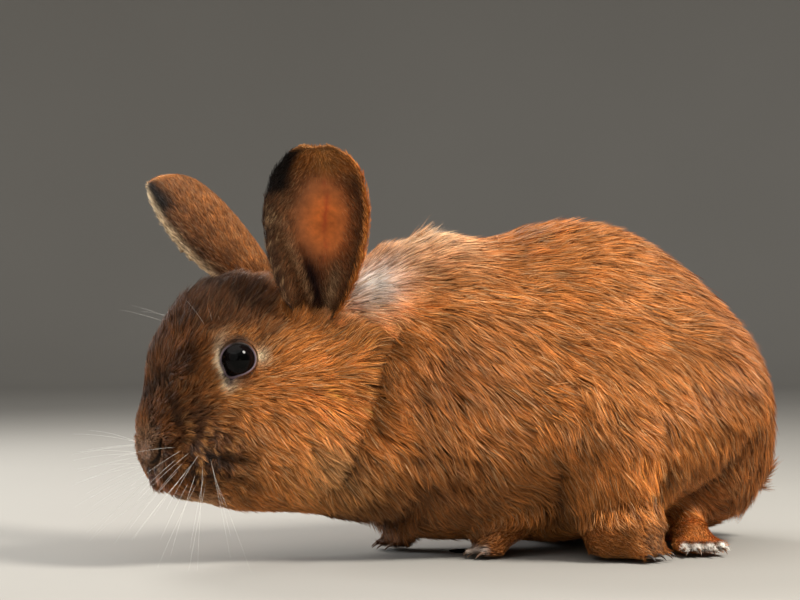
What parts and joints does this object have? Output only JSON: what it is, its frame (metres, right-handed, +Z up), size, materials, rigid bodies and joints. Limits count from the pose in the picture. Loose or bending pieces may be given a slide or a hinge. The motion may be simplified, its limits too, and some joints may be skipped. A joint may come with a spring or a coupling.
{
  "type": "rabbit",
  "caption": "Life-size still model of a young red-coated rabbit crouching low on the floor, its head turned a little to its left and its ears apart.",
  "frame": {"origin": "middle of the rabbit's box, on the floor it crouches on", "axes": "+Z up, the rabbit faces -Y, its left side is +X"},
  "size_m": [0.172, 0.3444, 0.1989],
  "materials": {
    "coat": "short dense soft fur",
    "ear": "thin skin under short fur",
    "eye": "wet gloss"
  },
  "bodies": {
    "root": {"head": "coat", "neck": "coat", "trunk": "coat", "tail": "coat", "left_thigh": "coat", "right_thigh": "coat", "left_hind_foot": "coat", "right_hind_foot": "coat", "left_foreleg": "coat", "right_foreleg": "coat", "left_ear": "ear", "right_ear": "ear", "left_eye": "eye", "right_eye": "eye"}
  },
  "joints": []
}
